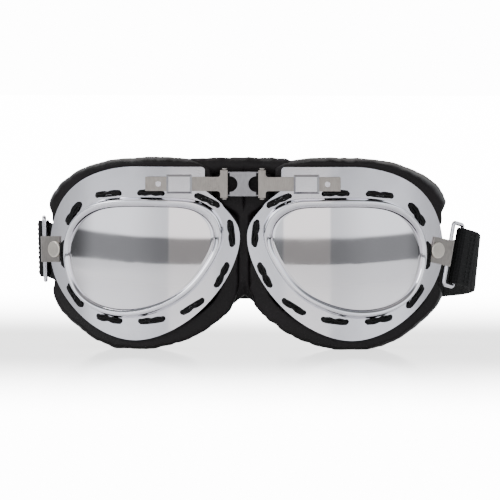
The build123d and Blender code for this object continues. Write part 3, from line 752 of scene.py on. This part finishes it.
# Sections of the leather, from under the flange round the roll to the seam on the face side, and of the
# lining, from that seam to the lens: the share of the way from the eye opening to the pad's outline, a share
# of the leather's puff out of it, and the share of the depth.
ROLL = [(.62, 0, .004), (.76, 0, -.012), (.86, 0, -.03), (.93, 0, -.042), (.975, 0, -.035), (1.0, .05, .0),
        (1.0, .35, .06), (1.0, .55, .14), (1.0, .75, .26), (1.0, .8, .40), (1.0, .7, .54), (1.0, .45, .68),
        (1.0, .0, .81), (.985, -.1, .90), (.94, 0, .965), (.86, 0, 1.0), (.74, 0, 1.012), (.64, 0, 1.0)]
LINING = [(.66, 0, 1.002), (.62, 0, 1.015), (.50, 0, 1.03), (.34, 0, 1.015), (.20, 0, .975), (.10, 0, .90),
          (.05, 0, .76), (.03, 0, .55), (.02, 0, .30), (.015, 0, .08), (.01, 0, .015)]


def pad_rays():
    """A pad's centre and the rays round it.

    Each ray is its way out, how far the eye opening and the outline lie, the length walked round the
    outline so far, and the share to which it points to the notch over the nose.
    """
    opening = outline(closed_spline(LENS_SHAPE, 300), LENS_SHAPE, LENS_BOX)
    rim = outline(closed_spline(PAD_SHAPE, 400), PAD_SHAPE, PAD_BOX)
    centre = opening.mean(0)
    inner, outer = polar(opening, centre), polar(rim, centre)
    rays, walk, last = [], 0.0, None
    for i in range(PAD_STATIONS):
        angle = math.tau * i / PAD_STATIONS
        ray = Vector((math.cos(angle), math.sin(angle)))
        far = np.mean([outer(angle + step) for step in EVENING])
        off_clip = abs(centre[1] + ray.y * far - CLIP_Z)
        corner = smooth(off_clip, 12 * MM, 19 * MM) * (1 - smooth(off_clip, 22 * MM, 37 * MM))
        to_temple = smooth(centre[0] + ray.x * far, 30 * MM, 60 * MM)
        to_notch = 2 * max(0.0, -ray.x) * max(0.0, -ray.y)
        far += 1.5 * MM * corner * to_temple - 0.9 * MM * to_notch
        end = ray * far
        walk += (end - last).length if last else 0.0
        last = end
        rays.append((ray, inner(angle), far, walk, to_notch))
    return centre, rays


def gathered(depth, walk, along, seed):
    """How far gathered leather stands out, at a length walked round the pad and a share along its section."""
    fold = noise.noise(Vector((walk / (4.2 * MM), seed, 0)))
    fold += 0.6 * noise.noise(Vector((walk / (1.9 * MM), seed, 9)))
    drift = noise.noise(Vector((walk / (9 * MM), along * 5, seed)))
    return depth * (0.55 * fold + 0.5 * drift) * (bell(along, 0.30, 0.16) + 0.55 * bell(along, 0.62, 0.25))


def pad_surface(side, name, section, settings, pleated, material, slot, thickness):
    """One skin of a pad: its section carried round the eye opening, pleated, and given its thickness."""
    centre, rays = pad_rays()
    points = []
    for ray, near, far, walk, to_notch in rays:
        for j, (share, step, depth) in enumerate(section):
            along = j / (len(section) - 1)
            reach = mix(near, far, share) + step * settings.leather_puff * (1 - 0.9 * to_notch)
            u, z = max(centre[0] + ray.x * reach, NOSE_EDGE), centre[1] + ray.y * reach
            y = mix(wrap_depth(u, -FLANGE), face_depth(u), depth)
            if pleated:
                swell = gathered(settings.leather_pleat, walk, along, SIDES[side] * 3.7)
                u += ray.x * swell
                z += ray.y * swell
                y -= 0.6 * swell * bell(along, 0.25, 0.12)
            u = min(u, temple_limit(y, z)) - strap_hollow(y, z) * smooth(u, 70 * MM, 84 * MM)
            u = max(u, nose_limit(y, z) if share > 0.6 else eye_limit(y, share))
            points.append(at(side, u, y, min(max(z, PAD_FOOT), PAD_BOX[3] + PAD_TOP_ROOM)))
    faces = grid_faces(PAD_STATIONS, len(section), True, False)
    piece = finish(name, points, faces, material, slot)
    apply(piece, "SOLIDIFY", thickness=thickness, offset=-1.0)
    apply(piece, "SUBSURF", levels=1, render_levels=1)
    shade_smooth(piece)
    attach(piece, "frame_" + side)
    return piece


# ---- nose bridge leather ------------------------------------------------------------------------------

NOSE_ROWS = 70
NOSE_COLUMNS = 16
NOSE_ROLL = 4.1 * MM
NOSE_OVERLAP = 0.7 * MM
NOSE_ROLL_END = {"left": 28.0 * MM, "right": 23.5 * MM}
NOSE_LAP = 0.6 * MM
HEM = 4.5 * MM
EDGE_ROUNDING = 1.6 * MM


def nose_skin(side, name, points, material):
    """A piece of the nose bridge, from the link's middle to the bracket."""
    faces = closed_tube(NOSE_ROWS, NOSE_COLUMNS)
    piece = finish(name, points, faces, material, "pad_leather", level=1)
    at(side, 1.0 * MM, 0, 0)
    at(side, 12.0 * MM, 0, 0)
    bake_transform(piece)
    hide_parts("nose_pad")


def nose_leather(side, settings, material):
    """One half of the soft bridge over the nose, from the middle to the pad's shoulder."""
    low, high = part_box("nose_pad")
    top, foot = high.z - 3.5 * MM, low.z
    front, rear = low.y - APEX_Y, high.y - APEX_Y
    face_columns = NOSE_COLUMNS // 2
    points = []
    for i in range(NOSE_ROWS):
        z = mix(foot, top, i / (NOSE_ROWS - 1))
        hem, arch = smooth(z, foot, foot + 7 * MM), smooth(z, foot, foot + 12 * MM)
        y0, y1 = front + mix(HEM, 0.2 * MM, hem), rear - mix(HEM, 0.0, hem)
        for j in range(NOSE_COLUMNS):
            ahead = j < face_columns
            share = (j if ahead else NOSE_COLUMNS - 1 - j) / (face_columns - 1)
            edge = smooth(share, 0.72, 1.0)
            y = mix(y0, y0 + EDGE_ROUNDING, edge) if ahead else mix(y1, y1 - EDGE_ROUNDING, edge)
            u = mix(-NOSE_OVERLAP, nose_limit(max(y, NOSE_DEPTH), z) + NOSE_LAP, share)
            crease = noise.noise(Vector((u / (6 * MM), z / (3.2 * MM), SIDES[side] * share)))
            swell = settings.leather_pleat * (0.8 * crease * share + 0.3 * math.cos(share * math.pi / 2))
            points.append(at(side, u, y - swell * hem if ahead else y, z - 0.9 * max(0.0, u) * (1 - arch)))
    nose_skin(side, "nose_leather_" + side, points, material)


def nose_roll(side, settings, material):
    """The roll that closes the soft bridge above and laps over the pad's top behind the frame's tab."""
    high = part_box("nose_pad")[1].z
    end = NOSE_ROLL_END[side]
    points = []
    for i in range(NOSE_ROWS):
        u = mix(-NOSE_OVERLAP, end, i / (NOSE_ROWS - 1))
        thick = NOSE_ROLL * math.sqrt(max(0.02, 1 - smooth(u, end - 6 * MM, end + 0.4 * MM)))
        y = wrap_depth(max(u, 8 * MM), -FLANGE) + 0.5 * MM + NOSE_ROLL
        z = high - 0.25 * MM - NOSE_ROLL - 0.6 * MM * (u / end) ** 2
        for j in range(NOSE_COLUMNS):
            turn = math.tau * j / NOSE_COLUMNS
            ray = Vector((0, -math.cos(turn), math.sin(turn)))
            fold = noise.noise(Vector((SIDES[side] * u / (4.6 * MM), ray.z, ray.y)))
            fold += 0.5 * noise.noise(Vector((SIDES[side] * u / (2.2 * MM), ray.z + 3, ray.y)))
            swell = 0.45 * settings.leather_pleat * fold * max(0.0, ray.z + 0.4) - 0.1 * MM
            points.append(at(side, u, y, z) + ray * (thick + swell))
    nose_skin(side, "nose_roll_" + side, points, material)


# ---- strap --------------------------------------------------------------------------------------------

STRAP_HALF = 12.25 * MM
STRAP_PLY = 1.5 * MM
RING_REACH = 8.0 * MM
FOLD_LENGTH = 10.0 * MM
RING_WIRE = 1.0 * MM
STRAP_HANDLE = 20.0 * MM
STRAP_REAR_HANDLE = 44.0 * MM
STRAP_STRAIGHT = 35.0 * MM
# how far behind the strap's fold each length of its curved run ends
RUN_ENDS = [22 * MM, 48 * MM, 52 * MM]


def ring_axes(side):
    """The strap ring at rest: a point of its knuckle axis, the way to its bar, and the way along the bar."""
    joint = JOINTS["ring_swing_" + side]
    start, along = Vector(joint["pos_m"]), Vector(joint["axis"]).normalized()
    low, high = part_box("strap_end_" + side)
    away = (low + high) / 2 - start
    away -= along * away.dot(along)
    return start, away.normalized(), along


def strap_path(side):
    """The strap's curve from its folded end to the straight run behind the head, as a function of a share."""
    start, away, up = ring_axes(side)
    low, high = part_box("strap_rear")
    first = start + away * (RING_REACH + FOLD_LENGTH)
    last = at(side, STRAP_STRAIGHT, high.y - STRAP_PLY - APEX_Y, low.z + STRAP_HALF)
    outward = Vector((SIDES[side] * STRAP_REAR_HANDLE, 0, 0))
    handles = [first, first + away * STRAP_HANDLE, last + outward, last]

    def place(share):
        rest = 1 - share
        sums = [rest ** 3, 3 * share * rest ** 2, 3 * share ** 2 * rest, share ** 3]
        return sum((h * w for h, w in zip(handles, sums)), Vector())

    def section(share):
        nudge, upright_from = 0.002, 0.7
        ahead = (place(min(1, share + nudge)) - place(max(0, share - nudge))).normalized()
        lean = (1 - min(1, share / upright_from)) ** 2
        upright = (up * lean + Vector((0, 0, 1)) * (1 - lean)).normalized()
        out = ahead.cross(upright).normalized()
        return place(share), ahead, upright, out

    return section


BAND_EDGE = [(-1, 0), (-.97, .75), (-.9, 1), (.9, 1), (.97, .75),
             (1, 0), (.97, -.75), (.9, -1), (-.9, -1), (-.97, -.75)]
BAND_COLUMNS = 6


def band_section():
    """The band's section: round edges and flat faces, as (share of half width, share of half thickness)."""
    top = [(mix(-.9, .9, k / BAND_COLUMNS), 1) for k in range(1, BAND_COLUMNS)]
    bottom = [(-across, -1) for across, _ in top]
    return BAND_EDGE[:3] + top + BAND_EDGE[3:8] + bottom + BAND_EDGE[8:]


def band(name, stations, thickness, material, offset=0.0, half=STRAP_HALF):
    """A length of webbing through stations of (place, ahead, upright, out), with its ends closed."""
    profile = band_section()
    points, uvs = [], []
    walked = 0.0
    before = None
    for place, _, upright, out in stations:
        walked += (place - before).length if before is not None else 0.0
        before = place
        for across, deep in profile:
            points.append(place + upright * (across * half) + out * (offset + deep * thickness / 2))
            uvs.append((walked, across * half))
    faces = closed_tube(len(stations), len(profile))
    return finish(name, points, faces, material, "strap_webbing", uvs=uvs)


def share_at_y(section, depth):
    """The share of the strap's curve at which it reaches a depth, found by halving."""
    low, high = 0.0, 1.0
    for _ in range(40):
        middle = (low + high) / 2
        if section(middle)[0].y < depth:
            low = middle
        else:
            high = middle
    return low


def side_strap(side, material):
    """The strap's curved run, in lengths between the ring and the bridge."""
    section = strap_path(side)
    first = section(0)[0]
    plies = 2 if side == "right" else 1
    shares = [0.0] + [share_at_y(section, first.y + end) for end in RUN_ENDS] + [1.0]
    for k in range(len(shares) - 1):
        low, high = shares[k], shares[k + 1]
        steps = max(8, round(70 * (high - low)))
        stations = [section(mix(low, high, s / steps)) for s in range(steps + 1)]
        for ply in range(plies):
            offset = (ply - (plies - 1) / 2) * STRAP_PLY
            name = f"strap_run_{side}_{k + 1}" + ("_outer" if ply else "")
            piece = band(name, stations, STRAP_PLY * 0.94, material, offset=offset)
            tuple(stations[0][0])
            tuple(stations[-1][0])
            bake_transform(piece)
            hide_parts("strap_side_" + side)


FOLD_STEPS = 6
FOLD_ARC_STEPS = 13
FOLD_CORE_GAP = 3.4 * MM
FOLD_CORE_PLY = 1.9 * MM


def folded_end(side, material, thread):
    """The webbing's fold round the ring's bar, with its layers and the stitches that hold them."""
    start, away, up = ring_axes(side)
    out = away.cross(up).normalized()
    bar = start + away * RING_REACH
    middle = RING_WIRE + STRAP_PLY / 2
    path = []
    for k in range(FOLD_STEPS + 1):
        path.append((bar + away * mix(FOLD_LENGTH, 0.0, k / FOLD_STEPS), middle))
    for k in range(1, FOLD_ARC_STEPS):
        turn = math.pi * k / FOLD_ARC_STEPS
        path.append((bar - away * (middle * math.sin(turn)), middle * math.cos(turn)))
    for k in range(FOLD_STEPS + 1):
        path.append((bar + away * mix(0.0, FOLD_LENGTH, k / FOLD_STEPS), -middle))
    places = [p + out * o for p, o in path]
    stations = []
    for k, place in enumerate(places):
        ahead = (places[min(k + 1, len(places) - 1)] - places[max(k - 1, 0)]).normalized()
        stations.append((place, ahead, up, ahead.cross(up).normalized()))
    piece = band(f"strap_fold_{side}", stations, STRAP_PLY * 0.96, material)
    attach(piece, "ring_" + side)
    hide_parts("strap_end_" + side)
    core = [(bar + away * mix(FOLD_CORE_GAP, FOLD_LENGTH, k / 4), away, up, out) for k in range(5)]
    filler = band(f"strap_fold_core_{side}", core, FOLD_CORE_PLY, material, half=STRAP_HALF * 0.97)
    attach(filler, "ring_" + side)
    stitches(side, bar, away, up, out, thread)


THREAD_ROWS = [4.6 * MM, 7.6 * MM]
THREAD_RADIUS = 0.19 * MM
THREAD_COUNT = 11
THREAD_RINGS = 5
THREAD_SIDES = 6


def stitches(side, bar, away, up, out, material):
    """Two rows of raised thread across the folded end, on both faces."""
    points, faces = [], []
    face_height = RING_WIRE + STRAP_PLY + 0.05 * MM
    rings, stitch_faces = THREAD_RINGS - 1, closed_tube(THREAD_RINGS, THREAD_SIDES)
    for front in (-1, 1):
        for row in THREAD_ROWS:
            for k in range(THREAD_COUNT):
                across = up * mix(-.84, .84, k / (THREAD_COUNT - 1)) * STRAP_HALF
                middle = bar + away * row + across + out * (front * face_height)
                faces += [tuple(len(points) + i for i in face) for face in stitch_faces]
                for s in range(THREAD_RINGS):
                    bend = math.sin(math.pi * s / rings)
                    centre = middle + up * mix(-.75, .75, s / rings) * MM
                    centre = centre + out * (front * (bend * .22 - .12) * MM)
                    for c in range(THREAD_SIDES):
                        turn = math.tau * c / THREAD_SIDES
                        points.append(centre + (away * math.cos(turn) + out * math.sin(turn)) * THREAD_RADIUS)
    piece = finish(f"strap_stitches_{side}", points, faces, material, "strap_webbing")
    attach(piece, "ring_" + side)


def rear_strap(material):
    """The straight run behind the head, doubled under the slide."""
    low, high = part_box("strap_rear")
    y, z = high.y - STRAP_PLY, low.z + STRAP_HALF
    steps = 24
    upright, ahead, out = Vector((0, 0, 1)), Vector((-1, 0, 0)), Vector((0, 1, 0))
    stations = []
    for k in range(steps + 1):
        x = MIDDLE_X + mix(STRAP_STRAIGHT, -STRAP_STRAIGHT, k / steps)
        stations.append((Vector((x, y, z)), ahead, upright, out))
    for ply, name in ((-0.5, "strap_back_inner"), (0.5, "strap_back_outer")):
        piece = band(name, stations, STRAP_PLY * 0.94, material, offset=ply * STRAP_PLY)
        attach(piece, "bridge")
        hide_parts("strap_rear")


# ---- operators ----------------------------------------------------------------------------------------

def look():
    scene = bpy.context.scene
    return scene.goggles_sizes, scene.goggles_colours


class GOGGLES_OT_metal(bpy.types.Operator):
    """Round the edges of the frames, bridge, clips and small metal, and plate them"""
    bl_idname = "goggles.metal"
    bl_label = "Metal"

    def execute(self, context):
        sizes, colours = look()
        chrome = plated("chrome plate", colours.chrome, 0.06, 0.14)
        nickel = plated("brushed nickel", colours.nickel, 0.20, 0.30, brushed=1.0)
        # The slide stop gets the chrome plate a tenth brighter: a painted highlight, so that it shows as a
        # bright spot.
        highlit_stop_chrome = plated("stop rivet with painted highlight", shade(colours.chrome, 1.1), 0.08, 0.14)
        steel = plated("turned steel", shade(colours.nickel, 1.08), 0.20, 0.32, brushed=0.5)
        wire = plated("plated wire", shade(colours.chrome, 0.95), 0.10, 0.20)
        warm = plated("warm nickel rivet", colours.rivet, 0.24, 0.34, brushed=0.6)
        black = enamel("worn black enamel", (.012, .012, .013))
        finishes = {"eye_frame": (chrome, "frame_chrome"), "bridge_bracket": (nickel, "nickel_steel"),
                    "strap_clip": (nickel, "nickel_steel"), "hinge_pin": (steel, "pin_steel"),
                    "slide_stop": (highlit_stop_chrome, "pin_steel"), "clip_rivet": (warm, "rivet_nickel"),
                    "strap_ring": (wire, "ring_wire")}
        for side in SIDES:
            for node, (material, slot) in finishes.items():
                softened(f"{node}_{side}", material, slot, sizes.edge_softness)
        cool = plated("speckled steel link", shade(colours.chrome, 0.42), 0.22, 0.34, brushed=1.0)
        softened("bridge_link", cool, "nickel_steel", sizes.edge_softness)
        softened("strap_adjuster", black, "adjuster_black", 2 * sizes.edge_softness)
        return {"FINISHED"}


class GOGGLES_OT_bezels(bpy.types.Operator):
    """Roll the bezels that hold the lenses"""
    bl_idname = "goggles.bezels"
    bl_label = "Bezels"

    def execute(self, context):
        sizes, colours = look()
        chrome = plated("bezel chrome", shade(colours.chrome, 1.02), 0.05, 0.11)
        for side in SIDES:
            bezel(side, sizes, chrome)
        return {"FINISHED"}


class GOGGLES_OT_lenses(bpy.types.Operator):
    """Set the mirrored lenses in their bezels"""
    bl_idname = "goggles.lenses"
    bl_label = "Lenses"

    def execute(self, context):
        sizes, colours = look()
        mirror = mirror_coat("mirror coating", colours.mirror)
        for side in SIDES:
            lens(side, sizes, mirror)
        return {"FINISHED"}


class GOGGLES_OT_lacing(bpy.types.Operator):
    """Finish the laces that hold the pads to the frames"""
    bl_idname = "goggles.lacing"
    bl_label = "Lacing"

    def execute(self, context):
        cord = waxed_cord("waxed lace", (.0055, .0055, .006))
        for side in SIDES:
            lacing(side, cord)
        return {"FINISHED"}


class GOGGLES_OT_pads(bpy.types.Operator):
    """Fill and gather the leather pads and line them"""
    bl_idname = "goggles.pads"
    bl_label = "Pads"

    def execute(self, context):
        sizes, colours = look()
        hide = leather("grained leather", colours.leather)
        pile = cloth_lining("cloth lining", (.010, .0095, .0105))
        for side in SIDES:
            cover = pad_surface(side, "leather_roll_" + side, ROLL, sizes, True, hide, "pad_leather", HIDE)
            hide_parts("leather_cover_" + side, "pad_foam_" + side)
            inside = pad_surface(side, "face_lining_" + side, LINING, sizes, False, pile, "pad_lining", CLOTH)
            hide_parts("pad_lining_" + side)
            nose_leather(side, sizes, hide)
            nose_roll(side, sizes, hide)
        return {"FINISHED"}


class GOGGLES_OT_strap(bpy.types.Operator):
    """Run the elastic strap from ring to ring"""
    bl_idname = "goggles.strap"
    bl_label = "Strap"

    def execute(self, context):
        sizes, colours = look()
        weave = webbing("elastic webbing", colours.webbing, sizes.webbing_rib)
        thread = waxed_cord("strap thread", (.009, .009, .010))
        for side in SIDES:
            side_strap(side, weave)
            folded_end(side, weave, thread)
        rear_strap(weave)
        return {"FINISHED"}


class GOGGLES_OT_stage(bpy.types.Operator):
    """Lay the floor and set the lights and the camera"""
    bl_idname = "goggles.stage"
    bl_label = "Stage"

    def execute(self, context):
        lay_floor()
        hang_lights()
        set_camera(azimuth=3.5, elevation=3.0, distance=4.0, width=0.215)
        return {"FINISHED"}


FLOOR_SIDE, FLOOR_FRONT, FLOOR_BACK = 3.0, -2.2, 3.0
FLOOR_DROP = 0.05 * MM
# the soft boxes: name, place, width in metres, power in watts
BOXES = [("left box", (-0.8, -0.5, 0.6), 0.4, 2.0), ("top box", (-0.3, 0.2, 0.9), 0.4, 2.5)]


def lay_floor():
    """A white gloss board that mirrors the goggles near them, and glows into white further away."""
    corners = [(-FLOOR_SIDE, FLOOR_FRONT, 0), (FLOOR_SIDE, FLOOR_FRONT, 0), (FLOOR_SIDE, FLOOR_BACK, 0),
               (-FLOOR_SIDE, FLOOR_BACK, 0)]
    mesh = bpy.data.meshes.new("floor")
    mesh.from_pydata(corners, [], [(0, 1, 2, 3)])
    floor = bpy.data.objects.new("floor", mesh)
    floor.location.z = -FLOOR_DROP
    bpy.context.scene.collection.objects.link(floor)
    recipe = Recipe("white gloss board", **{"Emission Strength": 1.0})
    back = recipe.add("ShaderNodeSeparateXYZ", {}, {"Vector": recipe.place()}, output=1)
    seen = recipe.add("ShaderNodeLightPath", output="Is Camera Ray")
    glow = recipe.ramp(back, -0.1, -0.5, 1.6, 13.0) + recipe.ramp(back, 0.04, 0.4, 0.0, 13.0)
    recipe.set({"Base Color": (.95, .95, .95),
                "Roughness": recipe.ramp(back, -0.5, -0.05, 0.30, 0.06),
                "Emission Color": 0.12 + seen * glow})
    mesh.materials.append(recipe.material)


def hang_lights():
    """A white tent with a grey gap at eye level, darker overhead and far aside, and two soft boxes.

    x, y and z are the parts of a direction seen from the goggles, from -1 to 1. The camera sees plain white.
    """
    world = bpy.data.worlds.new("light tent")
    bpy.context.scene.world = world
    recipe = Recipe("light tent", owner=world)
    direction = recipe.add("ShaderNodeTexCoord", output="Generated")
    x, y, z = (recipe.add("ShaderNodeSeparateXYZ", {}, {"Vector": direction}, output=k) for k in range(3))
    aside = x.maths("ABSOLUTE")
    sky = recipe.ramp(z, 0.050, 0.060, 0.36, 1.9) - recipe.ramp(z, 0.50, 0.80, 0.0, 1.6)
    wings = 1.0 - recipe.ramp(aside, 0.205, 0.228, 0.0, 0.36) + recipe.ramp(aside, 0.24, 0.62, 0.0, 0.30)
    dark_sides = 1.0 - recipe.ramp(aside, 0.80, 0.93, 0.0, 0.72)
    front = sky * wings * dark_sides
    rear = recipe.ramp(y, 0.25, 0.75)
    light = front * (1.0 - rear) + rear * 1.1
    seen = recipe.add("ShaderNodeLightPath", output="Is Camera Ray")
    warm = recipe.tint(recipe.ramp(aside, 0.19, 0.24), (1.0, .975, .955), (.93, .965, 1.0))
    recipe.set({"Color": recipe.tint(seen, warm, (1.0, 1.0, 1.0)),
                "Strength": light * (1.0 - seen) + seen * 14.0})
    for name, place, size, power in BOXES:
        data = bpy.data.lights.new(name, "AREA")
        data.shape = "SQUARE"
        data.size = size
        data.energy = power
        lamp = bpy.data.objects.new(name, data)
        lamp.location = place
        aim = Vector((0, -0.03, 0.04)) - Vector(place)
        lamp.rotation_euler = aim.to_track_quat("-Z", "Y").to_euler()
        bpy.context.scene.collection.objects.link(lamp)


AIM_ASIDE = 3.0 * MM
AIM_HEIGHT = 43.2 * MM
SENSOR = 36.0


def set_camera(azimuth, elevation, distance, width):
    """A long lens in front of the goggles; width is what it sees across at their distance."""
    data = bpy.data.cameras.new("camera")
    camera = bpy.data.objects.new("camera", data)
    bpy.context.scene.collection.objects.link(camera)
    turn, rise = math.radians(azimuth), math.radians(elevation)
    target = Vector((MIDDLE_X + AIM_ASIDE, APEX_Y, AIM_HEIGHT))
    away = Vector((math.sin(turn) * math.cos(rise), -math.cos(turn) * math.cos(rise), math.sin(rise)))
    camera.location = target + away * distance
    camera.rotation_euler = (-away).to_track_quat("-Z", "Y").to_euler()
    data.sensor_width = SENSOR
    data.lens = SENSOR * distance / width
    data.clip_start = 0.01
    bpy.context.scene.camera = camera


class GOGGLES_PT_panel(bpy.types.Panel):
    """The steps that finish the goggles"""
    bl_idname = "GOGGLES_PT_panel"
    bl_label = "Motorcycle Goggles"
    bl_space_type = "VIEW_3D"
    bl_region_type = "UI"
    bl_category = "Goggles"

    def draw(self, context):
        for group in look():
            for name in group.bl_rna.properties.keys():
                if name not in {"rna_type", "name"}:
                    self.layout.prop(group, name)
        for operator in OPERATORS:
            self.layout.operator(operator.bl_idname)


OPERATORS = (GOGGLES_OT_metal, GOGGLES_OT_bezels, GOGGLES_OT_lenses, GOGGLES_OT_lacing, GOGGLES_OT_pads,
             GOGGLES_OT_strap, GOGGLES_OT_stage)
CLASSES = (GogglesSizes, GogglesColours, *OPERATORS, GOGGLES_PT_panel)


def register():
    for entry in CLASSES:
        bpy.utils.register_class(entry)
    bpy.types.Scene.goggles_sizes = bpy.props.PointerProperty(type=GogglesSizes)
    bpy.types.Scene.goggles_colours = bpy.props.PointerProperty(type=GogglesColours)


def unregister():
    del bpy.types.Scene.goggles_sizes
    del bpy.types.Scene.goggles_colours
    for entry in reversed(CLASSES):
        bpy.utils.unregister_class(entry)


def main():
    register()
    for step in ("metal", "bezels", "lenses", "lacing", "pads", "strap", "stage"):
        getattr(bpy.ops.goggles, step)()


if __name__ == "__main__":
    main()
